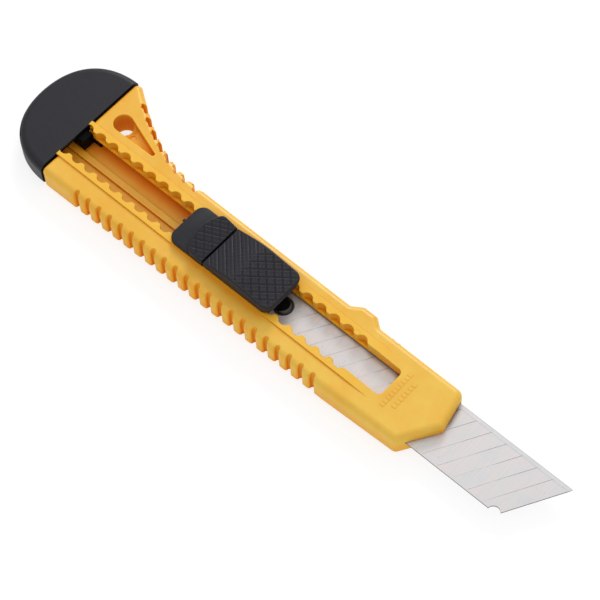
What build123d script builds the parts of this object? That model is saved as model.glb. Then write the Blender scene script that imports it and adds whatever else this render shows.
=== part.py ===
from build123d import *
import os

# Utility knife with a snap-off blade, lying on its back.
# +X runs to the blade's point, +Y to the cutting edge, +Z up through the slider.
# The origin is on the casing's back face, under the centreline of the blade.

# ---- overall -------------------------------------------------------------------------
POINT_X = 94.3            # blade point
CASE_REAR = -76.0         # where the end cap meets the casing
NOSE_X = 59.1             # foremost point of the casing
CASE_H = 8.0              # casing thickness at its edges
RACK_H = 8.4              # casing thickness at the raised rack beside the slot

# ---- casing outline, plan view --------------------------------------------------------
TAIL_FLARE = [(CASE_REAR, 26.4), (-61.0, 15.75), (-51.7, 11.15), (-36.7, 11.2)]
BUMP = [(17.1, 10.95), (20.2, 13.05), (24.8, 13.05), (27.6, 10.85)]
NOSE = [(56.5, 10.75), (NOSE_X, -0.6), (52.0, -11.65)]
BELLY = (28.3, -12.6)     # where the lower side starts to narrow towards the nose
HEEL = (CASE_REAR, -13.4)
TOP_ROUND = 0.9
BACK_ROUND = 0.8
PALM_ROUND = 1.9          # softer edge along the lower side

# ---- slot, rack and blade channel -----------------------------------------------------
FLOOR_T = 1.5
SLOT_HALF = 4.7
SLOT_FRONT = 40.8
SCALLOP_R = 1.8
SCALLOP_Y = 4.15
SCALLOP_PITCH = 4.84
SCALLOP_FIRST = -75.07
SCALLOP_COUNT = 22
POCKET_FLOOR = 5.4        # the scallops stop here, above a straight ledge
LEDGE_UNDER = 4.8         # underside of the ledges that hold the blade down
CHANNEL_HALF = 9.15
TONGUE_L = 5.0            # the channel's floor reaches this far in under the end cap
CHANNEL_FRONT = 44.3
SLIT_UNDER = 3.85
RACK_HALF = 7.1
RACK_RAMP = (31.0, 38.5)

# ---- finger grips ---------------------------------------------------------------------
GRIP_PITCH = 4.115
GRIP_COUNT = 22
GRIP_FIRST = -62.8
GRIP_R = 0.72
GRIP_DEPTH = 1.5
GRIP_LIP = 0.75           # depth of the rounding of the ribs between the grooves
GRIP_LIP_X = 1.1          # and its reach along the side
TAIL_GRIP_SINK = 0.5      # the tail's grooves are cut this much deeper
TAIL_GRIPS = 8
TAIL_GRIP_FIRST = -67.9

# ---- hanging hole ---------------------------------------------------------------------
HOLE = (-69.0, 12.4)
HOLE_R = 2.9
RECESS_END = (-55.7, 10.4)
RECESS_END_R = 0.6
RECESS_FLOOR = 6.0

# ---- blade ----------------------------------------------------------------------------
BLADE_W = 18.0
BLADE_L = 100.0
BLADE_T = 0.5
BLADE_Z = 3.95
SCORE_PITCH = 5.05
SCORE_COUNT = 16
SCORE_ANGLE = 60.0
BEVEL = 1.3
PEG = (2.6, 0.0)
PEG_R = 2.9
PEG_HOLE_R = 3.0

# ---- slider ---------------------------------------------------------------------------
FOOT = (-29.7, 8.3)
FOOT_Z = (2.45, 3.85)
NECK_HALF = 4.45
NECK_TOP = 8.5
SPLIT_X = -20.1           # line between the plate and the thumb pad
SPLIT_GAP = 0.5
PLATE_REAR = -33.3
PLATE_HALF = 7.0
PLATE_Z = (8.75, 9.95)
PAD_HALF = 7.15
PAD_FRONT = 3.9
PAD_UNDER = 9.1
PAD_RIDGE = (-10.2, 13.9)  # (x, z) of the crest across the pad
REST_LOW = 11.3           # height of both finger rests at the split line
REST_REAR = (-27.1, 13.5)
PAD_TRAVEL = 1.2
HEAD = (-17.3, -1.0)      # T-shaped head of the carrier that the pad rides on
LEAF_T = 0.4

# ---- end cap --------------------------------------------------------------------------
CAP_GAP = 0.12
CAP_TOP_Y = 25.4
CAP_LOW_Y = -13.45
CAP_REAR = (-95.0, 6.0)   # rearmost point of the cap
CAP_FULLNESS = 0.62       # how square the curve is; a true quarter ellipse is 0.55
PRONG_L = 4.6
HOOD_Z = 6.6              # underside of the cap's top wall over the channel


def block(x, y, z):
    """A box between two limits on each axis."""
    size = [high - low for low, high in (x, y, z)]
    middle = [(high + low) / 2 for low, high in (x, y, z)]
    return Pos(*middle) * Box(*size)


def corner(shape, point):
    """The vertex of a flat outline nearest to a plan point."""
    return shape.vertices().sort_by_distance((*point, 0))[0]


def round_corners(outline, corners):
    """Round the named corners of a plan outline, each with its own radius."""
    for point, radius in corners:
        outline = fillet(corner(outline, point), radius)
    return outline


def edges_at(solid, height, keep):
    """Edges that lie flat at one height and whose middle passes a test."""
    flat = solid.edges().filter_by_position(Axis.Z, height - 1e-3, height + 1e-3)
    return [edge for edge in flat if keep(edge.position_at(0.5))]


# ---- casing ---------------------------------------------------------------------------
def casing_body():
    """The outer shell with its rounded edges, still solid."""
    with BuildSketch() as plan:
        with BuildLine():
            Bezier(*TAIL_FLARE)
            Polyline(TAIL_FLARE[-1], *BUMP, *NOSE, BELLY, HEEL, TAIL_FLARE[0])
        make_face()
    outline = round_corners(plan.sketch, [
        (TAIL_FLARE[0], 1.4), (BUMP[0], 1.2), (BUMP[1], 1.0), (BUMP[2], 1.0), (BUMP[3], 1.2),
        (NOSE[0], 2.2), (NOSE[1], 0.9), (NOSE[2], 1.6), (HEEL, 1.4)])
    block_shape = extrude(outline, CASE_H)

    def outer(p):
        return p.X > CASE_REAR + 0.01

    def lower_side(p):
        return outer(p) and p.Y < -10.9

    all_round = fillet(edges_at(block_shape, CASE_H, outer), TOP_ROUND)
    all_round = fillet(edges_at(all_round, 0.0, outer), BACK_ROUND)
    return all_round & fillet(edges_at(block_shape, CASE_H, lower_side), PALM_ROUND)


def rack():
    """Raised strip beside the slot, fading into the face before the nose."""
    with BuildSketch(Plane.XZ) as side:
        with BuildLine():
            Polyline((CASE_REAR, CASE_H - 0.2), (CASE_REAR, RACK_H), (RACK_RAMP[0], RACK_H),
                     (RACK_RAMP[1], CASE_H), (RACK_RAMP[1], CASE_H - 0.2), close=True)
        make_face()
    return extrude(side.sketch, RACK_HALF, both=True)


def slot():
    """The slider's slot: straight below, scalloped in pockets above the ledges."""
    rear = CASE_REAR - 2
    straight = Pos((rear + SLOT_FRONT) / 2, 0) * Rectangle(SLOT_FRONT - rear, 2 * SLOT_HALF)
    straight = fillet(straight.vertices().sort_by(Axis.X)[-2:], 1.4)
    scallops = straight
    for index in range(SCALLOP_COUNT):
        x = SCALLOP_FIRST + index * SCALLOP_PITCH
        for side in (-1, 1):
            scallops += Pos(x, side * SCALLOP_Y) * Circle(SCALLOP_R)
    teeth = [v for v in scallops.vertices()
             if abs(abs(v.Y) - SLOT_HALF) < 0.01 and rear + 1 < v.X < SLOT_FRONT - 6]
    scallops = fillet(teeth, 0.6)
    return (Pos(0, 0, FLOOR_T) * extrude(straight, RACK_H)
            + Pos(0, 0, POCKET_FLOOR) * extrude(scallops, RACK_H))


def grip_groove():
    """Cutter for one finger groove on a side whose face is at y = 0, body towards +Y."""
    radius, lip = GRIP_R, GRIP_LIP
    centre = GRIP_DEPTH - radius
    wide = radius + GRIP_LIP_X
    bend = 1 - 0.5 ** 0.5
    turn = (radius + bend * GRIP_LIP_X, bend * lip)
    with BuildSketch() as mouth:
        with BuildLine():
            ThreePointArc((-radius, centre), (0, GRIP_DEPTH), (radius, centre))
            Line((radius, centre), (radius, lip))
            ThreePointArc((radius, lip), turn, (wide, 0))
            Polyline((wide, 0), (wide, -1.5), (-wide, -1.5), (-wide, 0))
            ThreePointArc((-wide, 0), (-turn[0], turn[1]), (-radius, lip))
            Line((-radius, lip), (-radius, centre))
        make_face()
    with BuildLine() as path:
        up = Line((0, 0, -1), (0, 0, 5.6))
        Spline(up @ 1, (0, 0.25, 7.5), (0, 0.75, 9.0), tangents=[(0, 0, 1), (0, 0.4, 0.9)])
    return sweep(Pos(0, 0, -1) * mouth.sketch, path.line)


def side_y(x):
    """Where the lower side's straight face lies at x."""
    share = (x - HEEL[0]) / (BELLY[0] - HEEL[0])
    return HEEL[1] + share * (BELLY[1] - HEEL[1])


def grips():
    """Finger grooves along the lower side and up the flared tail."""
    groove = grip_groove()
    cutters = []
    for index in range(GRIP_COUNT):
        x = GRIP_FIRST + index * GRIP_PITCH
        cutters.append(Pos(x, side_y(x), 0) * groove)
    flare = Bezier(*TAIL_FLARE)
    for index in range(TAIL_GRIPS):
        x = TAIL_GRIP_FIRST + index * GRIP_PITCH
        at = min((flare.position_at(t / 400) for t in range(401)), key=lambda p: abs(p.X - x))
        share = flare.param_at_point(at)
        run = flare.tangent_at(share)
        angle = Vector(1, 0, 0).get_signed_angle(Vector(run.X, run.Y, 0))
        turned = Rot(0, 0, angle + 180) * Pos(0, TAIL_GRIP_SINK, 0) * groove
        cutters.append(Pos(at.X, at.Y, 0) * turned)
    return cutters


def hanging_hole():
    """Round through hole with a shallow tear-drop recess that tapers forwards."""
    with BuildSketch() as drop:
        with Locations(HOLE):
            Circle(HOLE_R)
        with Locations(RECESS_END):
            Circle(RECESS_END_R)
        make_hull()
    recess = Pos(0, 0, RECESS_FLOOR) * extrude(drop.sketch, CASE_H)
    hole = Pos(*HOLE, 0) * Cylinder(HOLE_R, 3 * CASE_H)
    mark = Pos(-64.3, 11.3, RECESS_FLOOR) * Cylinder(0.95, 0.3)
    return recess + hole + mark


def casing():
    """One-piece moulding: floor, side walls, ledges, rack, grips and hanging hole."""
    body = casing_body() + rack()
    body += block((CASE_REAR - TONGUE_L, CASE_REAR), (-7.2, 6.0), (0, FLOOR_T))
    body -= slot()
    body -= block((CASE_REAR - 2, CHANNEL_FRONT), (-CHANNEL_HALF, CHANNEL_HALF),
                  (FLOOR_T, LEDGE_UNDER))
    body -= block((CHANNEL_FRONT - 1, NOSE_X + 2), (-CHANNEL_HALF, CHANNEL_HALF),
                  (SLIT_UNDER, LEDGE_UNDER))
    body += block((CASE_REAR - TONGUE_L, CHANNEL_FRONT), (-1.0, 1.0), (FLOOR_T - 0.2, 2.2))
    body -= hanging_hole()
    body -= grips()
    for x in (31.9, 34.1):
        body += Pos(x, 10.76, 5.6) * Rot(90, 0, 0) * Cylinder(0.45, 0.7)
    for x, reach, count in ((42.9, 6.2, 10), (45.6, 4.6, 7)):
        for index in range(count):
            y = -0.4 - reach + 2 * reach * (index + 0.5) / count
            body += block((x - 0.65, x + 0.65), (y - 0.5, y + 0.5), (CASE_H - 0.2, CASE_H + 0.06))
    return body


# ---- blade ----------------------------------------------------------------------------
def blade():
    """Snap-off blade with ground edge, score lines, peg hole and broken-off end corner."""
    half = BLADE_W / 2
    rear = POINT_X - BLADE_L
    back = POINT_X - BLADE_W / 1.7320508
    with BuildSketch() as plan:
        with BuildLine():
            Polyline((POINT_X, half), (rear, half), (rear, -half), (back, -half), close=True)
        make_face()
        with Locations(PEG):
            Circle(PEG_HOLE_R, mode=Mode.SUBTRACT)
        with Locations((83.0, -half - 0.1)):
            Circle(1.8, mode=Mode.SUBTRACT)
    steel = Pos(0, 0, BLADE_Z) * extrude(plan.sketch, BLADE_T)
    for z in (BLADE_Z, BLADE_Z + BLADE_T):
        away = 1 if z > BLADE_Z else -1
        with BuildSketch(Plane.YZ.offset(rear - 1)) as ground:
            with BuildLine():
                Polyline((half - BEVEL, z), (half + 1, z - away * 0.39), (half + 1, z + away),
                         (half - BEVEL, z + away), close=True)
            make_face()
        steel -= extrude(ground.sketch, BLADE_L + 2)
    for index in range(1, SCORE_COUNT + 1):
        x = (POINT_X + back) / 2 - index * SCORE_PITCH
        score = Rot(0, 0, SCORE_ANGLE) * Box(BLADE_W * 1.12, 0.14, 0.12)
        steel -= Pos(x, 0, BLADE_Z + BLADE_T) * score
    return steel


# ---- slider ---------------------------------------------------------------------------
def blade_carrier():
    """Holds the blade on a peg, fills the slot, and carries the plate and pad on top."""
    leaf_zone = -21.0
    body = block(FOOT, (-8.7, 8.7), FOOT_Z)
    body += block((FOOT[0], POINT_X - BLADE_L - 0.2), (-8.7, 8.7), (FOOT_Z[0], 4.45))
    body += block((leaf_zone, HEAD[1]), (-NECK_HALF, NECK_HALF), (4.55, NECK_TOP))
    body += block((leaf_zone, POINT_X - BLADE_L - 0.2), (-NECK_HALF, NECK_HALF), (4.4, 4.6))
    body += block((-29.0, leaf_zone), (-2.0, 2.0), (4.4, NECK_TOP))
    body += block((-29.4, leaf_zone), (-NECK_HALF, NECK_HALF), (7.8, NECK_TOP))
    body += block((-28.6, -21.6), (-3.0, 3.0), (NECK_TOP, 9.6))
    body += block(HEAD, (-NECK_HALF, NECK_HALF), (NECK_TOP, 9.65))
    body += block(HEAD, (-5.4, 5.4), (9.65, 10.7))
    body += block((HEAD[1], 1.2), (-NECK_HALF, NECK_HALF), (4.55, 5.3))
    peg = Pos(*PEG, (FOOT_Z[1] + 5.5) / 2) * Cylinder(PEG_R, 5.5 - FOOT_Z[1])
    peg = fillet(peg.edges().sort_by(Axis.Z)[-1], 1.1)
    return body + peg


def lock_spring():
    """Bent steel leaf behind the neck; its two lobes click along the scallops."""
    half = [(-21.3, 2.45), (-24.0, 3.6), (-26.7, 4.25), (-28.8, 3.2), (-29.55, 1.2)]
    line = Spline(*half, *[(x, -y) for x, y in reversed(half)])
    return Pos(0, 0, 5.0) * extrude(trace(line, LEAF_T), 2.5)


def sloped_cut(start, end):
    """Everything above a sloping line between two (x, z) points, and past its ends."""
    (x0, z0), (x1, z1) = start, end
    slope = (z1 - z0) / (x1 - x0)
    far = 40.0
    with BuildSketch(Plane.XZ) as above:
        with BuildLine():
            Polyline((x0 - far, z0 - far * slope), (x0 + far, z0 + far * slope),
                     (x0 + far, z0 + 3 * far), (x0 - far, z0 + 3 * far), close=True)
        make_face()
    return extrude(above.sketch, 10, both=True)


def rim(solid, low, far_x):
    """Top edges round the outside of a finger rest whose far end is at far_x."""
    chosen = []
    for edge in solid.edges():
        p = edge.position_at(0.5)
        upright = abs(edge.tangent_at(0.5).Z) > 0.9
        if p.Z > low and not upright and (abs(p.Y) > 1 or abs(p.X - far_x) < 0.1):
            chosen.append(edge)
    return chosen


def slider_plate():
    """Flat rear plate with a raised, forward-sloping half-round finger rest."""
    front = SPLIT_X - SPLIT_GAP / 2
    length = front - PLATE_REAR
    outline = Pos(PLATE_REAR + length / 2, 0) * Rectangle(length, 2 * PLATE_HALF)
    outline = fillet(outline.vertices().sort_by(Axis.X)[:2], 2.8)
    plate = Pos(0, 0, PLATE_Z[0]) * extrude(outline, PLATE_Z[1] - PLATE_Z[0])
    plate = fillet(edges_at(plate, PLATE_Z[1], lambda p: p.X < front - 0.01), 0.35)

    with BuildSketch() as rest:
        with BuildLine():
            top = Line((front, PAD_HALF), (-24.6, PAD_HALF))
            bow = ThreePointArc(top @ 1, (REST_REAR[0], 0), (-24.6, -PAD_HALF))
            Line(bow @ 1, (front, -PAD_HALF))
            Line((front, -PAD_HALF), (front, PAD_HALF))
        make_face()
    outline = round_corners(rest.sketch, [((-24.6, PAD_HALF), 1.6), ((-24.6, -PAD_HALF), 1.6)])
    raised = Pos(0, 0, PLATE_Z[0]) * extrude(outline, 5.5)
    raised -= sloped_cut((front, REST_LOW), REST_REAR)
    raised = fillet(rim(raised, REST_LOW, REST_REAR[0]), 0.45)
    nub = block((PLATE_REAR - 0.6, PLATE_REAR + 0.5), (-0.3, 0.5), (9.0, 9.6))
    return plate + raised + nub - block((-28.6, -21.6), (-3.0, 3.0), (8, 9.6))


def thumb_pad():
    """Front pad with a raised ridge across it; hollow below to ride on the carrier's head."""
    rear = SPLIT_X + SPLIT_GAP / 2
    length = PAD_FRONT - rear
    outline = Pos(rear + length / 2, 0) * Rectangle(length, 2 * PAD_HALF)
    outline = fillet(outline.vertices().sort_by(Axis.X)[-2:], 2.6)
    pad = Pos(0, 0, PAD_UNDER) * extrude(outline, 8)
    ridge_x, ridge_z = PAD_RIDGE
    pad -= sloped_cut((rear, REST_LOW), (ridge_x, ridge_z))
    pad -= sloped_cut((ridge_x, ridge_z), (PAD_FRONT, 12.4))
    crest = [e for e in pad.edges() if abs(e.position_at(0.5).X - ridge_x) < 0.01
             and e.position_at(0.5).Z > ridge_z - 0.01]
    pad = fillet(crest, 10.0)
    pad = fillet(rim(pad, REST_LOW, PAD_FRONT), 0.5)
    back_room = HEAD[0] - PAD_TRAVEL - 0.3
    pad -= block((back_room, HEAD[1] + 0.3), (-4.7, 4.7), (PAD_UNDER - 1, 9.6))
    pad -= block((back_room, HEAD[1] + 0.3), (-5.6, 5.6), (9.5, 10.85))
    return pad


# ---- end cap --------------------------------------------------------------------------
def end_cap():
    """Rounded plug with a hood over the channel's end: a key and two prongs reach in."""
    front = CASE_REAR - CAP_GAP
    spare = front + 6.0    # cut off again once the edges are round
    rear, middle = CAP_REAR
    depth = (front - rear) * CAP_FULLNESS
    with BuildSketch() as plan:
        with BuildLine():
            for y in (CAP_TOP_Y, CAP_LOW_Y):
                reach = (y - middle) * CAP_FULLNESS
                Bezier((front, y), (front - depth, y), (rear, middle + reach), (rear, middle))
            Polyline((front, CAP_LOW_Y), (spare, CAP_LOW_Y), (spare, CAP_TOP_Y),
                     (front, CAP_TOP_Y))
        make_face()
    cap = extrude(plan.sketch, CASE_H)
    for z, radius in ((CASE_H, 2.2), (0.0, 1.4)):
        cap = fillet(edges_at(cap, z, lambda p: p.X < spare - 0.01), radius)
    cap -= block((front, spare + 1), (-30, 30), (-1, CASE_H + 1))
    inside = front - TONGUE_L - 0.3
    cap -= block((inside, front + 1), (-7.4, 6.2), (-1, HOOD_Z))
    tip = front + PRONG_L
    for y in ((5.0, 8.95), (-8.95, -5.3)):
        cap += block((inside - 0.5, tip), y, (1.65, 4.2))
    cap += block((front - 2.5, front + 2.6), (0.9, 4.6), (3.0, 7.0))
    return cap


NODES = {
    "casing": casing,
    "blade": blade,
    "blade_carrier": blade_carrier,
    "lock_spring": lock_spring,
    "slider_plate": slider_plate,
    "thumb_pad": thumb_pad,
    "end_cap": end_cap,
}

os.makedirs("parts", exist_ok=True)
for name, make in NODES.items():
    export_step(make(), f"parts/{name}.step")
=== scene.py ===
"""Looks of a snap-off utility knife, built round its fixed CAD frame."""

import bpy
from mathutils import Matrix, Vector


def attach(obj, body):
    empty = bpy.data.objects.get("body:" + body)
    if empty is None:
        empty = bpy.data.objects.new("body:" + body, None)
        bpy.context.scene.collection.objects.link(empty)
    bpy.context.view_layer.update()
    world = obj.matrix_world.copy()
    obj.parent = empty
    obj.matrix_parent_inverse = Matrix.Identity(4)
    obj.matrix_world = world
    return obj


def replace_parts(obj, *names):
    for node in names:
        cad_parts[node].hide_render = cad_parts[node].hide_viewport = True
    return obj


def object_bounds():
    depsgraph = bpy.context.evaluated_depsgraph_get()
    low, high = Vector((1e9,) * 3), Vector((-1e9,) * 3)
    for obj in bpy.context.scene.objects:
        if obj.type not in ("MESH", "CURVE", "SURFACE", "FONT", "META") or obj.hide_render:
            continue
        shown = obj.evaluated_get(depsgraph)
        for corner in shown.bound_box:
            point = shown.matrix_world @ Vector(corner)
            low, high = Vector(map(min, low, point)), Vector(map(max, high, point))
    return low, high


bl_info = {
    "name": "Utility Knife",
    "version": (1, 0, 0),
    "blender": (4, 5, 0),
    "location": "View3D > Sidebar > Knife",
    "description": "Models and finishes a snap-off utility knife round its CAD frame",
    "category": "Object",
}

import math

import bmesh
import bpy
from bpy.props import FloatProperty, FloatVectorProperty, PointerProperty
from mathutils import Vector

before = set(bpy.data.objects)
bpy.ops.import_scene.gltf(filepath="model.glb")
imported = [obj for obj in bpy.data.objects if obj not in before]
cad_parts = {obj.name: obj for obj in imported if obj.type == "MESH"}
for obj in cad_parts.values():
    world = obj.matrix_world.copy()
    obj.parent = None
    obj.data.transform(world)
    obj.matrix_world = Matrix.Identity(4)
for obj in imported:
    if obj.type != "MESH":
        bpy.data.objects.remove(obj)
CAD_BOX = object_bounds()

MM = 0.001

# Places on the frame that the finishes refer to.
# HOLE_MIDDLE and HOLE_REACH place painted shade on the hanging hole's wall.
HOLE_MIDDLE = (-69.0 * MM, 12.4 * MM, 3.8 * MM)
HOLE_REACH = 4.6 * MM             # takes in the hole's wall and stops below its rim
EJECTOR_X, EJECTOR_Y, EJECTOR_Z = 24.1 * MM, 5.55 * MM, 8.4 * MM
EJECTOR_R = 0.85 * MM
# Painted highlight: the casing turns brighter from its face up to the rack within RACK_RISE.
RACK_RISE = 8.05 * MM, 8.3 * MM   # the casing turns brighter from its face up to the rack
GRIND_START = 7.66 * MM           # where the ground band of the blade begins
# Black plastic gets painted shade, near black, below SUNK_Z and within SUNK_HALF of the
# centreline. This is meant for the cap's key and prongs. It has no limit along X, so it
# also darkens the middle of the cap's rear wall, with a visible edge.
SUNK_Z = 7.1 * MM
SUNK_HALF = 9.0 * MM

# Studio light.
KEY_PLACE = (-0.45, 0.85, 0.65)
KEY_SIZE = 0.36
SKY_TOP = 0.85                    # height on the dome where the sky is at its brightest
FLOOR_GAP = 0.02 * MM


# ---- settings -------------------------------------------------------------------------
def length(label, what, default):
    return FloatProperty(name=label, description=what, default=default, unit="LENGTH",
                         precision=5)


def colour(label, what, default):
    return FloatVectorProperty(name=label, description=what, default=default, subtype="COLOR",
                               size=3, min=0.0, max=1.0)


class KnifeColours(bpy.types.PropertyGroup):
    """Colours of the knife's plastics and steel."""
    casing: colour("Casing", "Face colour of the yellow moulding", (0.82, 0.450, 0.028))
    casing_pale: colour("Casing, pale", "Paler clouds in the moulding", (0.85, 0.525, 0.060))
    casing_amber: colour("Casing, amber", "Warmer clouds in the moulding", (0.84, 0.35, 0.010))
    # Painted shade: the colour the moulding deepens to in its recesses and the hanging hole.
    casing_recess_shade: colour("Casing, deep", "Colour the moulding deepens to in its recesses",
                        (0.92, 0.275, 0.012))
    # Painted highlight on rounded edges and the rack.
    casing_edge_highlight: colour("Casing, edges", "Brighter tone of rounded edges and the rack",
                        (0.92, 0.50, 0.014))
    # Painted shade, deepest inside grooves, corners and the hanging hole.
    casing_shade: colour("Casing, shade", "Darkest tone, deep inside grooves and corners",
                         (0.46, 0.135, 0.004))
    # Painted shade on the channel's floor under the +Y ledge, redder towards the wall.
    casing_ledge_shade: colour("Casing, flush", "Redder tone along one side of the channel's floor",
                         (0.86, 0.175, 0.012))
    slider: colour("Slider", "Charcoal of the two finger rests", (0.0105, 0.0105, 0.0155))
    cap: colour("End cap", "Charcoal of the end cap", (0.0105, 0.0105, 0.0155))
    carrier: colour("Carrier", "Black of the blade carrier", (0.006, 0.006, 0.006))
    steel: colour("Blade", "Tint of the blade steel", (0.70, 0.685, 0.68))
    steel_warm: colour("Blade, warm", "Warmer clouds on the steel", (0.72, 0.655, 0.65))
    steel_cool: colour("Blade, cool", "Cooler clouds on the steel", (0.635, 0.66, 0.71))
    steel_ground: colour("Blade, ground band", "Cool tint of the ground cutting edge",
                         (0.56, 0.57, 0.585))
    # Painted shade on the blade's upright rim faces and under the +Y rack.
    steel_shade: colour("Blade, sheared rim", "Dark sheared rim of the steel",
                      (0.055, 0.057, 0.062))
    score: colour("Score lines", "Tint of the blade's score lines", (0.42, 0.42, 0.43))
    # Painted light that lifts the score lines' shade where they fade.
    score_painted_light: colour("Score lines, worn", "Bright tone where a score line is worn away",
                       (0.95, 0.93, 0.92))


class KnifeSizes(bpy.types.PropertyGroup):
    """Sizes of the details that are modelled here."""
    hatch_pitch: length("Hatch pitch", "Distance between two lines of the cross-hatched grip",
                        1.06 * MM)
    hatch_depth: length("Hatch depth", "Depth of the lines of the cross-hatched grip", 0.17 * MM)
    rim_round: length("Rim rounding", "Rounding of the finger rests' rims", 0.6 * MM)
    grain: length("Moulded grain", "Size of the fine grain on the moulded plastics", 0.25 * MM)


class KnifeStudio(bpy.types.PropertyGroup):
    """Camera and light."""
    eye: FloatVectorProperty(name="Camera place", description="Where the camera stands",
                             default=(0.21042, -0.19544, 0.51988), subtype="TRANSLATION", size=3)
    turn: FloatVectorProperty(name="Camera turn", description="How the camera is turned",
                              default=(math.radians(29.0175), math.radians(2.0537),
                                       math.radians(42.1471)), subtype="EULER", size=3)
    lens: FloatProperty(name="Lens", description="Focal length in millimetres", default=132.137)
    sky: FloatProperty(name="Sky", description="Brightness of the soft light overhead",
                       default=0.93)
    horizon: FloatProperty(name="Horizon", description="Brightness of the soft light low down",
                           default=0.42)
    key: FloatProperty(name="Key light", description="Power of the key light in watts",
                       default=5.0)


# ---- node helpers ---------------------------------------------------------------------
class Recipe:
    """A material's node tree, written as short steps."""

    def __init__(self, name):
        self.material = bpy.data.materials.new(name)
        self.material.use_nodes = True
        self.tree = self.material.node_tree
        self.tree.nodes.clear()
        self.shader = self.add("ShaderNodeBsdfPrincipled")
        out = self.add("ShaderNodeOutputMaterial")
        self.join(self.shader.outputs[0], out.inputs["Surface"])
        sources = self.add("ShaderNodeTexCoord").outputs
        self.place, self.facing = sources["Object"], sources["Normal"]

    def add(self, kind, **values):
        node = self.tree.nodes.new(kind)
        for key, value in values.items():
            setattr(node, key, value)
        return node

    def join(self, source, target):
        self.tree.links.new(source, target)

    def set(self, **values):
        for key, value in values.items():
            socket = self.shader.inputs[key.replace("_", " ")]
            if isinstance(value, bpy.types.NodeSocket):
                self.join(value, socket)
            else:
                socket.default_value = value

    def stretched(self, scale, turn=0.0):
        """Object coordinates scaled and turned about Z, for patterns with a direction."""
        node = self.add("ShaderNodeMapping")
        self.join(self.place, node.inputs["Vector"])
        node.inputs["Rotation"].default_value = (0, 0, turn)
        node.inputs["Scale"].default_value = scale
        return node.outputs[0]

    def axes(self, vector):
        """The three components of a vector."""
        node = self.add("ShaderNodeSeparateXYZ")
        self.join(vector, node.inputs[0])
        return node.outputs

    def noise(self, size, detail=2.0, rough=0.5, where=None):
        """Noise whose features are about size metres across, from 0 to 1."""
        node = self.add("ShaderNodeTexNoise")
        self.join(where or self.place, node.inputs["Vector"])
        node.inputs["Scale"].default_value = 1.0 / size
        node.inputs["Detail"].default_value = detail
        node.inputs["Roughness"].default_value = rough
        return node.outputs["Fac"]

    def math(self, kind, a, b=None, c=None):
        node = self.add("ShaderNodeMath", operation=kind)
        for socket, value in zip(node.inputs, (a, b, c)):
            if isinstance(value, bpy.types.NodeSocket):
                self.join(value, socket)
            elif value is not None:
                socket.default_value = value
        return node.outputs[0]

    def spread(self, source, low, high, to_low=0.0, to_high=1.0):
        """Maps the range low..high of a value onto another, clamped."""
        node = self.add("ShaderNodeMapRange")
        for socket, value in zip(node.inputs, (source, low, high, to_low, to_high)):
            if isinstance(value, bpy.types.NodeSocket):
                self.join(value, socket)
            else:
                socket.default_value = value
        return node.outputs[0]

    def mix(self, share, a, b):
        node = self.add("ShaderNodeMix", data_type="RGBA")
        for name, value in (("Factor", share), ("A", a), ("B", b)):
            sockets = [s for s in node.inputs if s.name == name and s.enabled]
            if isinstance(value, bpy.types.NodeSocket):
                self.join(value, sockets[0])
            elif name == "Factor":
                sockets[0].default_value = value
            else:
                sockets[0].default_value = (*value, 1.0)
        return [s for s in node.outputs if s.enabled][0]

    def bump(self, height, strength, distance, normal=None):
        node = self.add("ShaderNodeBump")
        node.inputs["Strength"].default_value = strength
        node.inputs["Distance"].default_value = distance
        self.join(height, node.inputs["Height"])
        if normal:
            self.join(normal, node.inputs["Normal"])
        return node.outputs[0]

    def ring(self, centre, radius, width):
        """1 along a circle on the surface, as an ejector pin leaves, and 0 away from it."""
        node = self.add("ShaderNodeVectorMath", operation="DISTANCE")
        self.join(self.place, node.inputs[0])
        node.inputs[1].default_value = centre
        off = self.math("ABSOLUTE", self.math("SUBTRACT", node.outputs["Value"], radius))
        return self.spread(off, 0.3 * width, width, 1.0, 0.0)

    def ball(self, centre, radius):
        """1 within a distance of a place, fading to 0 just beyond it."""
        node = self.add("ShaderNodeVectorMath", operation="DISTANCE")
        self.join(self.place, node.inputs[0])
        node.inputs[1].default_value = centre
        return self.spread(node.outputs["Value"], radius, 1.1 * radius, 1.0, 0.0)

    def soft_edges(self, radius):
        node = self.add("ShaderNodeBevel", samples=4)
        node.inputs["Radius"].default_value = radius
        return node.outputs[0]

    def shelter(self, distance, inside=False):
        """1 out in the open, falling to 0 down in a recess; inside, near a thin edge."""
        node = self.add("ShaderNodeAmbientOcclusion", samples=8, inside=inside)
        node.inputs["Distance"].default_value = distance
        return node.outputs["AO"]


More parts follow.
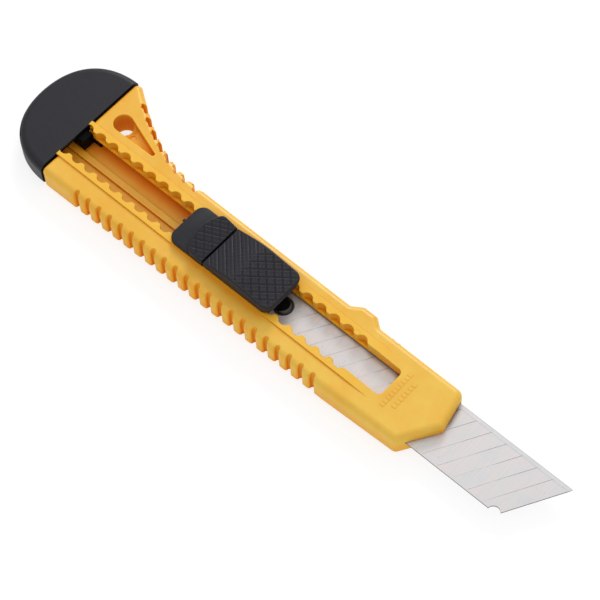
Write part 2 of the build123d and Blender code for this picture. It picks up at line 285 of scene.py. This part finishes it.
# ---- finishes -------------------------------------------------------------------------
def casing_plastic(look, sizes):
    """Clouded golden plastic with painted shade, amber then brown, down in its recesses, and a
    painted highlight on its edges and rack.
    """
    r = Recipe("casing_plastic")
    cloud = r.noise(16 * MM, 3.0, 0.55)
    blotch = r.noise(5 * MM, 2.0)
    speck = r.noise(1.1 * MM, 3.0, 0.6)
    scuff = r.noise(0.5 * MM, 2.0, 0.6, r.stretched((0.12, 1.0, 1.0), 0.5))
    along, across, height = r.axes(r.place)
    amber = r.spread(along, -72 * MM, 20 * MM, 0.22, 0.0)
    amber = r.math("ADD", amber, r.spread(blotch, 0.42, 0.75, 0.0, 0.30))
    tone = r.mix(r.spread(cloud, 0.40, 0.65), look.casing, look.casing_pale)
    tone = r.mix(amber, tone, look.casing_amber)
    tone = r.mix(r.spread(speck, 0.56, 0.80, 0.0, 0.22), tone, look.casing_amber)
    # Painted shade in recesses, from ambient occlusion at two reaches; the hole's painted shade
    # joins in.
    recess_shade = r.spread(r.shelter(2.6 * MM), 0.34, 0.88, 1.0, 0.0)
    wide_recess_shade = r.spread(r.shelter(8 * MM), 0.25, 0.80, 0.70, 0.0)
    # Painted shade on the wall of the hanging hole.
    bore_shade = r.math("MULTIPLY", r.ball(HOLE_MIDDLE, HOLE_REACH), 0.5)
    recess_shade = r.math("MAXIMUM", r.math("MAXIMUM", recess_shade, wide_recess_shade), bore_shade)
    tone = r.mix(recess_shade, tone, look.casing_recess_shade)
    # Painted shade on the channel's floor under the +Y ledge.
    ledge_shade = r.math("MULTIPLY", r.spread(across, 1.2 * MM, 5.5 * MM, 0.0, 0.7),
                   r.spread(across, 7.0 * MM, 7.6 * MM, 1.0, 0.0))
    ledge_shade = r.math("MULTIPLY", ledge_shade, r.spread(height, 3.5 * MM, 5.5 * MM, 1.0, 0.0))
    tone = r.mix(ledge_shade, tone, look.casing_ledge_shade)
    # Painted shade deep inside grooves, corners and the hanging hole, weaker near the top face.
    crease_shade = r.spread(r.shelter(1.6 * MM), 0.26, 0.76, 0.9, 0.0)
    crease_shade = r.math("MAXIMUM", crease_shade, r.math("MULTIPLY", bore_shade, 0.7))
    crease_shade = r.math("MULTIPLY", crease_shade, r.spread(height, 6.6 * MM, 7.7 * MM, 1.0, 0.35))
    tone = r.mix(crease_shade, tone, look.casing_shade)
    # Painted highlight: brighter tone on thin rounded edges and up the rack.
    edge = r.spread(r.shelter(0.7 * MM, inside=True), 0.50, 0.92, 0.7, 0.0)
    raised = r.spread(height, *RACK_RISE, 0.0, 0.5)
    tone = r.mix(r.math("MAXIMUM", edge, raised), tone, look.casing_edge_highlight)
    wear = r.math("ADD", r.math("MULTIPLY", cloud, 0.6), r.math("MULTIPLY", scuff, 0.5))
    r.set(Base_Color=tone, Roughness=r.spread(wear, 0.35, 0.75, 0.30, 0.48), IOR=1.50)
    upright = r.spread(r.axes(r.facing)[2], 0.1, 0.7, 0.15, 1.0)
    shine = r.math("MULTIPLY", upright, r.spread(recess_shade, 0.0, 0.7, 0.5, 0.05))
    r.set(Specular_IOR_Level=shine, Coat_Weight=r.spread(recess_shade, 0.0, 0.6, 0.10, 0.0))
    r.set(Subsurface_Weight=0.04, Subsurface_Radius=(2.0, 0.8, 0.15),
          Subsurface_Scale=0.7 * MM, Coat_Roughness=0.2)
    normal = r.soft_edges(0.30 * MM)
    for side in (EJECTOR_Y, -EJECTOR_Y):
        ring = r.ring((EJECTOR_X, side, EJECTOR_Z), EJECTOR_R, 0.13 * MM)
        normal = r.bump(ring, 0.7, 0.08 * MM, normal)
    normal = r.bump(r.noise(8 * MM, 1.0), 0.6, 0.12 * MM, normal)
    normal = r.bump(r.noise(2.4 * MM, 2.0), 0.25, 0.04 * MM, normal)
    normal = r.bump(r.noise(sizes.grain, 2.0), 0.12, 0.03 * MM, normal)
    r.set(Normal=r.bump(r.spread(scuff, 0.62, 0.72), 0.12, 0.02 * MM, normal))
    return r.material


def black_plastic(name, tint, sizes, rough):
    """Charcoal plastic with a fine grain and pale lint, and painted shade that makes it blacker
    low down near the middle.
    """
    r = Recipe(name)
    cloud = r.noise(7 * MM, 3.0)
    speck = r.noise(0.9 * MM, 3.0, 0.65)
    lint = r.noise(0.35 * MM, 2.0, 0.6, r.stretched((0.1, 1.0, 1.0), 0.9))
    pale = tuple(c * 1.9 + 0.004 for c in tint)
    tone = r.mix(r.math("MULTIPLY", r.spread(speck, 0.5, 0.8), 0.35), tint, pale)
    tone = r.mix(r.math("MULTIPLY", r.spread(lint, 0.68, 0.78), 0.25), tone, pale)
    tone = r.mix(r.spread(r.shelter(0.5 * MM, inside=True), 0.5, 0.9, 0.5, 0.0), tone, pale)
    r.set(Roughness=r.spread(cloud, 0.3, 0.7, rough - 0.06, rough + 0.07))
    _, across, height = r.axes(r.place)
    # Painted shade: near black with little shine, low down near the middle.
    low_shade = r.math("MULTIPLY", r.spread(height, SUNK_Z, SUNK_Z + 0.3 * MM, 1.0, 0.0),
                  r.spread(r.math("ABSOLUTE", across), SUNK_HALF, SUNK_HALF + 0.5 * MM, 1.0, 0.0))
    shine = r.spread(r.shelter(3 * MM), 0.45, 0.85, 0.06, 0.32)
    r.set(IOR=1.50, Specular_IOR_Level=r.math("MULTIPLY", shine, r.spread(low_shade, 0, 1, 1, 0.15)))
    r.set(Base_Color=r.mix(low_shade, tone, (0.002, 0.002, 0.002)))
    grain = r.noise(sizes.grain, 3.0, 0.6)
    normal = r.bump(cloud, 0.3, 0.05 * MM, r.soft_edges(0.2 * MM))
    r.set(Normal=r.bump(grain, 0.35, 0.035 * MM, normal))
    return r.material


def carrier_plastic(look):
    """Glossy black plastic with a few greyer smears."""
    r = Recipe("carrier_plastic")
    cloud = r.noise(3 * MM, 2.0)
    smear = r.noise(0.8 * MM, 3.0, 0.6)
    r.set(Base_Color=r.mix(r.math("MULTIPLY", r.spread(smear, 0.5, 0.8), 0.4), look.carrier,
                           look.slider),
          Roughness=r.spread(cloud, 0.3, 0.7, 0.10, 0.24), IOR=1.52, Coat_Weight=0.3,
          Coat_Roughness=0.08)
    r.set(Normal=r.bump(smear, 0.2, 0.02 * MM, r.soft_edges(0.25 * MM)))
    return r.material


def blade_steel(look):
    """Mottled steel with a ground band and score lines, painted light that fades the score lines,
    and painted shade on the rim and under the rack.
    """
    r = Recipe("blade_steel")
    cloud = r.noise(5 * MM, 3.0, 0.55)
    smudge = r.noise(3.0 * MM, 4.0, 0.6)
    fleck = r.noise(0.9 * MM, 3.0, 0.65)
    grind = r.noise(0.35 * MM, 3.0, 0.6, r.stretched((1.0, 0.03, 1.0), 0.10))
    tone = r.mix(r.spread(cloud, 0.38, 0.68, 0.0, 0.8), look.steel, look.steel_warm)
    tone = r.mix(r.spread(smudge, 0.50, 0.72, 0.0, 0.7), tone, look.steel_cool)
    tone = r.mix(r.spread(fleck, 0.60, 0.78, 0.0, 0.35), tone, look.score)
    tone = r.mix(r.spread(grind, 0.35, 0.75, 0.0, 0.22), tone, look.score)
    # Painted light in the score lines cancels their shade, fading in and out along them.
    line = r.spread(r.shelter(0.3 * MM), 0.45, 0.9, 1.0, 0.0)
    faded = r.math("MULTIPLY", line, r.spread(r.noise(7 * MM, 2.0), 0.42, 0.58, 1.0, 0.35))
    tone = r.mix(r.math("MULTIPLY", faded, 0.6), tone, look.score_painted_light)
    across = r.axes(r.place)[1]
    # Painted shade on the steel under the +Y rack's teeth.
    under = r.math("MULTIPLY", r.spread(r.shelter(2.2 * MM), 0.45, 0.85, 0.85, 0.0),
                   r.spread(across, 0.5 * MM, 3.0 * MM))
    tone = r.mix(under, tone, look.steel_shade)
    ground = r.spread(across, GRIND_START, GRIND_START + 0.06 * MM)
    tone = r.mix(r.math("MULTIPLY", ground, 0.6), tone, look.steel_ground)
    for place, half, share in ((7.72, 0.10, 0.55), (8.98, 0.13, 0.85)):
        off = r.math("ABSOLUTE", r.math("SUBTRACT", across, place * MM))
        tone = r.mix(r.spread(off, half * 0.5 * MM, half * 1.4 * MM, share, 0.0), tone,
                     look.score)
    # Painted shade on the blade's upright rim faces, kept off the score lines' walls.
    rim = r.spread(r.math("ABSOLUTE", r.axes(r.facing)[2]), 0.15, 0.45, 1.0, 0.0)
    rim = r.math("MULTIPLY", rim, r.spread(faded, 0.0, 1.0, 1.0, 0.0))
    tone = r.mix(rim, tone, look.steel_shade)
    rough = r.math("ADD", r.spread(cloud, 0.3, 0.7, 0.26, 0.36),
                   r.spread(grind, 0.35, 0.65, 0.0, 0.08))
    r.set(Base_Color=tone, Metallic=r.spread(ground, 0.0, 1.0, 0.38, 0.12), IOR=1.5,
          Roughness=r.math("ADD", rough, r.math("MULTIPLY", ground, 0.2)))
    r.set(Normal=r.bump(grind, 0.08, 0.006 * MM))
    return r.material


def spring_steel(look):
    """Bright steel with fine streaks along Z."""
    r = Recipe("spring_steel")
    streak = r.noise(0.2 * MM, 3.0, 0.6, r.stretched((1.0, 1.0, 0.06)))
    r.set(Base_Color=r.mix(streak, look.score, look.steel), Metallic=1.0,
          Roughness=r.spread(streak, 0.3, 0.7, 0.25, 0.42))
    r.set(Normal=r.bump(streak, 0.15, 0.01 * MM, r.soft_edges(0.08 * MM)))
    return r.material


def floor_paint():
    """Pale matt paint with a glow of its own, so that shadows stay faint."""
    r = Recipe("floor_paint")
    cloud = r.noise(0.4, 2.0)
    r.set(Base_Color=r.mix(cloud, (0.27, 0.27, 0.27), (0.30, 0.30, 0.30)),
          Roughness=0.9, Specular_IOR_Level=0.0)
    r.set(Emission_Color=(1, 1, 1, 1), Emission_Strength=0.76)
    return r.material


def paint(obj, material):
    """Puts one finish on every slot of a piece or CAD node."""
    if not obj.material_slots:
        obj.data.materials.append(material)
    for slot in obj.material_slots:
        slot.material = material


def smooth(obj, degrees=35.0):
    """Shades a piece smooth below an angle between its faces."""
    make_active(obj)
    bpy.ops.object.shade_smooth_by_angle(angle=math.radians(degrees))


# ---- modelling helpers ----------------------------------------------------------------
def deselect():
    if bpy.context.mode != "OBJECT":
        bpy.ops.object.mode_set(mode="OBJECT")
    bpy.ops.object.select_all(action="DESELECT")


def make_active(obj):
    deselect()
    obj.select_set(True)
    bpy.context.view_layer.objects.active = obj


def new_piece(name, add, **values):
    """Adds a primitive by its operator and names it."""
    deselect()
    add(location=(0, 0, 0), **values)
    obj = bpy.context.active_object
    obj.name = obj.data.name = name
    return obj


def block(name, x, y, z):
    """A box between two corners, its place held in the mesh."""
    obj = new_piece(name, bpy.ops.mesh.primitive_cube_add, size=1.0)
    for vertex in obj.data.vertices:
        vertex.co = [low + (c + 0.5) * (high - low)
                     for c, (low, high) in zip(vertex.co, (x, y, z))]
    return obj


def select_where(obj, wanted, kind="FACE"):
    """Enters edit mode with the faces, edges or vertices selected that satisfy wanted."""
    make_active(obj)
    bpy.ops.object.mode_set(mode="EDIT")
    bpy.ops.mesh.select_mode(type=kind)
    bpy.ops.mesh.select_all(action="DESELECT")
    mesh = bmesh.from_edit_mesh(obj.data)
    items = {"FACE": mesh.faces, "EDGE": mesh.edges, "VERT": mesh.verts}[kind]
    chosen = 0
    for item in items:
        if wanted(item):
            item.select_set(True)
            chosen += 1
    mesh.select_flush_mode()
    bmesh.update_edit_mesh(obj.data)
    if not chosen:
        raise RuntimeError(f"nothing selected on {obj.name}")


def to_object_mode():
    bpy.ops.object.mode_set(mode="OBJECT")


def combine(obj, tool, operation):
    """Applies a boolean with another piece and removes that piece."""
    make_active(obj)
    step = obj.modifiers.new("combine", "BOOLEAN")
    step.operation, step.object, step.solver = operation, tool, "EXACT"
    before = len(obj.data.polygons)
    bpy.ops.object.modifier_apply(modifier=step.name)
    data = tool.data
    bpy.data.objects.remove(tool)
    bpy.data.meshes.remove(data)
    if len(obj.data.polygons) == before:
        raise RuntimeError(f"{operation} changed nothing on {obj.name}")


def spacing(start, end, rounding, step):
    """Places from start to end, crowded together where both ends are rounded."""
    reach = abs(end - start)
    ends = [tuple(r * (1 - math.cos(math.pi / 2 * k / 6)) for k in range(6)) for r in rounding]
    inner = reach - sum(rounding)
    count = max(1, round(inner / step))
    places = list(ends[0])
    places += [rounding[0] + inner * k / count for k in range(count + 1)]
    places += [reach - d for d in reversed(ends[1])]
    return [start + (end - start) * p / reach for p in places]


def dome(depth, radius):
    """How far a rounded rim has dropped at a distance in from the outline."""
    if depth >= radius:
        return 0.0
    return radius - math.sqrt(max(0.0, radius ** 2 - (radius - max(depth, 0.0)) ** 2))


def smooth_min(a, b, blend):
    share = min(1.0, max(0.0, 0.5 + 0.5 * (b - a) / blend))
    return b + (a - b) * share - blend * share * (1 - share)


class Rest:
    """One ribbed finger rest: its outline, its height and its hatching."""

    def __init__(self, near, far, half, inset, height, hatch, rim, near_rim, under, draft):
        self.near, self.far, self.half = near, far, half
        self.inset, self.height, self.hatch = inset, height, hatch
        self.rim, self.near_rim = rim, near_rim
        self.under, self.draft = under, draft

    def top(self, x, y):
        """Height of the upper face at a place."""
        depth = self.inset(x, y)
        drop = max(dome(depth, self.rim), dome(abs(x - self.near), self.near_rim))
        calm = min(1.0, max(0.0, (min(depth, abs(x - self.near) * 2.5) - 0.35 * MM) / (0.5 * MM)))
        return self.height(x) - drop - self.hatch(x, y) * calm

    def build(self, name, step):
        """Models the rest from a grid: pulled to the outline, extruded, then carved."""
        run = 20 * MM
        share = spacing(0.0, 1.0, (self.near_rim / run, self.rim / run), step / run)
        rows = spacing(-self.half, self.half, (self.rim, self.rim), step)
        obj = new_piece(name, bpy.ops.mesh.primitive_grid_add, size=2.0,
                        x_subdivisions=len(share) - 1, y_subdivisions=len(rows) - 1)
        for vertex in obj.data.vertices:
            i = round((vertex.co.x + 1) / 2 * (len(share) - 1))
            j = round((vertex.co.y + 1) / 2 * (len(rows) - 1))
            y = rows[j]
            vertex.co = (self.near + share[i] * (self.far(y) - self.near), y, self.under)
        make_active(obj)
        bpy.ops.object.mode_set(mode="EDIT")
        bpy.ops.mesh.select_all(action="SELECT")
        bpy.ops.mesh.extrude_region_move(TRANSFORM_OT_translate={"value": (0, 0, 1 * MM)})
        to_object_mode()
        for vertex in obj.data.vertices:
            x, y, z = vertex.co
            if z > self.under + 0.5 * MM:
                vertex.co.z = self.top(x, y)
            else:
                vertex.co.x = x - self.draft[0] * (x - self.near) / (self.far(0.0) - self.near)
                vertex.co.y = y - self.draft[1] * y / self.half
        select_where(obj, lambda f: max(v.co.z for v in f.verts) < self.under + 0.1 * MM)
        bpy.ops.mesh.dissolve_faces()
        bpy.ops.mesh.select_all(action="SELECT")
        bpy.ops.mesh.normals_make_consistent(inside=False)
        to_object_mode()
        return obj


def ridges(pitch, angle, depth, uneven=0.0):
    """V-shaped lines at an angle: returns how deep they are at a place."""
    turn = math.radians(angle)
    across = (-math.sin(turn), math.cos(turn))

    def cut(x, y):
        place = (x * across[0] + y * across[1]) / pitch
        line = round(place)
        valley = max(0.0, 1.0 - abs(place - line) / 0.24)
        weight = 1.0 - uneven * (line % 2)
        return depth * weight * valley * valley * (3 - 2 * valley)

    return cut


# ---- operators ------------------------------------------------------------------------
class KNIFE_OT_casing(bpy.types.Operator):
    """Finishes the casing's yellow moulding"""
    bl_idname = "knife.casing"
    bl_label = "Casing"

    def execute(self, context):
        scene = context.scene
        paint(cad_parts["casing"], casing_plastic(scene.knife_colours, scene.knife_sizes))
        return {"FINISHED"}


class KNIFE_OT_end_cap(bpy.types.Operator):
    """Finishes the end cap's charcoal plastic"""
    bl_idname = "knife.end_cap"
    bl_label = "End cap"

    def execute(self, context):
        scene = context.scene
        paint(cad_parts["end_cap"],
              black_plastic("cap_plastic", scene.knife_colours.cap, scene.knife_sizes, 0.50))
        return {"FINISHED"}


class KNIFE_OT_blade(bpy.types.Operator):
    """Finishes the ground steel of the blade and the spring"""
    bl_idname = "knife.blade"
    bl_label = "Blade and spring"

    def execute(self, context):
        look = context.scene.knife_colours
        paint(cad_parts["blade"], blade_steel(look))
        paint(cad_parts["lock_spring"], spring_steel(look))
        return {"FINISHED"}


def corner_pull(y, half, corner):
    """How far a rounded front corner pulls the front end back at this y."""
    over = abs(y) - (half - corner)
    return corner - math.sqrt(max(0.0, corner ** 2 - over ** 2)) if over > 0 else 0.0


class KNIFE_OT_thumb_pad(bpy.types.Operator):
    """Models the hatched thumb pad with the pocket that rides on the carrier's head"""
    bl_idname = "knife.thumb_pad"
    bl_label = "Thumb pad"

    def execute(self, context):
        sizes = context.scene.knife_sizes
        near, front, half, corner = -19.85 * MM, 3.9 * MM, 7.15 * MM, 2.6 * MM
        crest, under = -10.2 * MM, 9.1 * MM
        back_z, crest_z, front_z = 11.3 * MM, 13.9 * MM, 12.4 * MM

        def inset(x, y):
            side = min(front - x, half - abs(y))
            cx, cy = x - (front - corner), abs(y) - (half - corner)
            return corner - math.hypot(cx, cy) if cx > 0 and cy > 0 else side

        def height(x):
            rise = back_z + (crest_z - back_z) * (x - near) / (crest - near)
            fall = crest_z - (crest_z - front_z) * (x - crest) / (front - crest)
            return smooth_min(rise, fall, 1.2 * MM)

        pitch, deep = sizes.hatch_pitch, sizes.hatch_depth
        rear = ridges(pitch, -45, deep, 0.6), ridges(pitch * 1.05, 42, deep * 0.3, 0.6)
        fore = ridges(pitch * 1.05, 41, deep * 1.1, 0.72), ridges(pitch, -45, deep * 1.25, 0.72)

        def hatch(x, y):
            share = min(1.0, max(0.0, (x - (crest + 0.3 * MM)) / (1.6 * MM) + 0.5))
            return max(max(cut(x, y) for cut in rear) * (1 - share),
                       max(cut(x, y) for cut in fore) * share)

        rest = Rest(near, lambda y: front - corner_pull(y, half, corner), half, inset, height,
                    hatch, sizes.rim_round, 0.25 * MM, under, (0.7 * MM, 0.2 * MM))
        pad = rest.build("pad", sizes.hatch_pitch / 8)
        back, ahead = -18.8 * MM, -0.7 * MM
        combine(pad, block("neck", (back, ahead), (-4.7 * MM, 4.7 * MM), (8 * MM, 9.6 * MM)),
                "DIFFERENCE")
        combine(pad, block("head", (back, ahead), (-5.6 * MM, 5.6 * MM), (9.55 * MM, 10.85 * MM)),
                "DIFFERENCE")
        smooth(pad)
        paint(pad, black_plastic("slider_plastic", context.scene.knife_colours.slider, sizes,
                                 0.52))
        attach(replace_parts(pad, "thumb_pad"), "thumb_pad")
        return {"FINISHED"}


class KNIFE_OT_slider_plate(bpy.types.Operator):
    """Models the flat slider plate with its hatched half-round rest"""
    bl_idname = "knife.slider_plate"
    bl_label = "Slider plate"

    def execute(self, context):
        sizes = context.scene.knife_sizes
        near, half, rear = -20.35 * MM, 7.0 * MM, -33.3 * MM
        low, high = 8.75 * MM, 9.95 * MM
        plate = block("plate", (rear, near), (-half, half), (low, high))
        select_where(plate, lambda e: abs(e.verts[0].co.z - e.verts[1].co.z) > 1 * MM
                     and e.verts[0].co.x < near - 1 * MM, "EDGE")
        bpy.ops.mesh.bevel(offset=2.8 * MM, segments=10, affect="EDGES")
        to_object_mode()
        select_where(plate, lambda f: f.normal.z > 0.9)
        bpy.ops.mesh.bevel(offset=0.35 * MM, segments=4, affect="EDGES")
        to_object_mode()

        wide, corner, arc = 7.15 * MM, 1.6 * MM, 12.26 * MM
        centre, turn, arc_half = -15.04 * MM, -24.14 * MM, 6.38 * MM
        split_z, slope = 11.3 * MM, 2.2 / 6.75
        inner = wide - corner

        def far(y):
            if abs(y) <= arc_half:
                return centre - math.sqrt(arc ** 2 - y ** 2)
            return turn - math.sqrt(max(0.0, corner ** 2 - (abs(y) - inner) ** 2))

        def inset(x, y):
            cx, cy = turn - x, abs(y) - inner
            if cx > 0 and cy > 0 and cy * (centre - turn) > cx * inner:
                return corner - math.hypot(cx, cy)
            return min(wide - abs(y), arc - math.hypot(x - centre, y))

        pitch, deep = sizes.hatch_pitch, sizes.hatch_depth
        lines = ridges(pitch * 1.1, 35, deep, 0.6), ridges(pitch, -48, deep, 0.6)
        rest = Rest(near, far, wide, inset, lambda x: split_z + (near - x) * slope,
                    lambda x, y: max(cut(x, y) for cut in lines), sizes.rim_round, 0.25 * MM,
                    9.3 * MM, (0.0, 0.0))
        raised = rest.build("rest", pitch / 8)
        combine(plate, raised, "UNION")
        combine(plate, block("nub", (rear - 0.6 * MM, rear + 0.5 * MM), (-0.3 * MM, 0.5 * MM),
                             (9.0 * MM, 9.6 * MM)), "UNION")
        combine(plate, block("pocket", (-28.6 * MM, -21.6 * MM), (-3 * MM, 3 * MM),
                             (8 * MM, 9.6 * MM)), "DIFFERENCE")
        smooth(plate)
        paint(plate, black_plastic("slider_plastic", context.scene.knife_colours.slider, sizes,
                                   0.48))
        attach(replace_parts(plate, "slider_plate"), "slider")
        return {"FINISHED"}


class KNIFE_OT_carrier(bpy.types.Operator):
    """Finishes the glossy blade carrier"""
    bl_idname = "knife.carrier"
    bl_label = "Blade carrier"

    def execute(self, context):
        paint(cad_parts["blade_carrier"], carrier_plastic(context.scene.knife_colours))
        return {"FINISHED"}


def soft_box(name, place, size, power):
    """A square area light that looks at the frame's origin."""
    data = bpy.data.lights.new(name, "AREA")
    data.size = size
    data.energy = power
    lamp = bpy.data.objects.new(name, data)
    bpy.context.collection.objects.link(lamp)
    lamp.location = place
    lamp.rotation_euler = (-Vector(place)).to_track_quat("-Z", "Y").to_euler()


class KNIFE_OT_studio(bpy.types.Operator):
    """Sets up the pale floor, the soft light and the camera"""
    bl_idname = "knife.studio"
    bl_label = "Studio"

    def execute(self, context):
        scene = context.scene
        studio = scene.knife_studio
        deselect()
        bpy.ops.mesh.primitive_plane_add(size=6.0, location=(0, 0, CAD_BOX[0].z - FLOOR_GAP))
        floor = context.active_object
        floor.name = "floor"
        paint(floor, floor_paint())

        world = bpy.data.worlds.new("studio")
        scene.world = world
        world.use_nodes = True
        nodes, links = world.node_tree.nodes, world.node_tree.links
        height = nodes.new("ShaderNodeSeparateXYZ")
        links.new(nodes.new("ShaderNodeTexCoord").outputs["Generated"], height.inputs[0])
        fade = nodes.new("ShaderNodeMapRange")
        links.new(height.outputs["Z"], fade.inputs["Value"])
        for socket, value in zip(fade.inputs[1:5], (0.0, SKY_TOP, studio.horizon, studio.sky)):
            socket.default_value = value
        sky = nodes["Background"]
        sky.inputs["Color"].default_value = (1, 1, 1, 1)
        links.new(fade.outputs[0], sky.inputs["Strength"])
        soft_box("key", KEY_PLACE, KEY_SIZE, studio.key)

        data = bpy.data.cameras.new("camera")
        data.lens = studio.lens
        data.sensor_width = 36.0
        data.clip_start, data.clip_end = 0.01, 20.0
        camera = bpy.data.objects.new("camera", data)
        context.collection.objects.link(camera)
        camera.location = studio.eye
        camera.rotation_euler = studio.turn
        scene.camera = camera
        scene.view_settings.view_transform = "Standard"
        return {"FINISHED"}


class KNIFE_PT_panel(bpy.types.Panel):
    """Lists the knife's steps and settings"""
    bl_idname = "KNIFE_PT_panel"
    bl_label = "Utility knife"
    bl_space_type = "VIEW_3D"
    bl_region_type = "UI"
    bl_category = "Knife"

    def draw(self, context):
        scene = context.scene
        for step in STEPS:
            self.layout.operator(step.bl_idname, text=step.bl_label)
        for group in (scene.knife_colours, scene.knife_sizes, scene.knife_studio):
            box = self.layout.box()
            for key in group.__annotations__:
                box.prop(group, key)


STEPS = (KNIFE_OT_casing, KNIFE_OT_end_cap, KNIFE_OT_blade, KNIFE_OT_carrier,
         KNIFE_OT_slider_plate, KNIFE_OT_thumb_pad, KNIFE_OT_studio)
GROUPS = {"knife_colours": KnifeColours, "knife_sizes": KnifeSizes, "knife_studio": KnifeStudio}


def register():
    for cls in (*GROUPS.values(), *STEPS, KNIFE_PT_panel):
        bpy.utils.register_class(cls)
    for name, group in GROUPS.items():
        setattr(bpy.types.Scene, name, PointerProperty(type=group))


def unregister():
    for name in GROUPS:
        delattr(bpy.types.Scene, name)
    for cls in reversed((*GROUPS.values(), *STEPS, KNIFE_PT_panel)):
        bpy.utils.unregister_class(cls)


def main():
    register()
    bpy.ops.knife.casing()
    bpy.ops.knife.end_cap()
    bpy.ops.knife.blade()
    bpy.ops.knife.carrier()
    bpy.ops.knife.slider_plate()
    bpy.ops.knife.thumb_pad()
    bpy.ops.knife.studio()


if __name__ == "__main__":
    main()
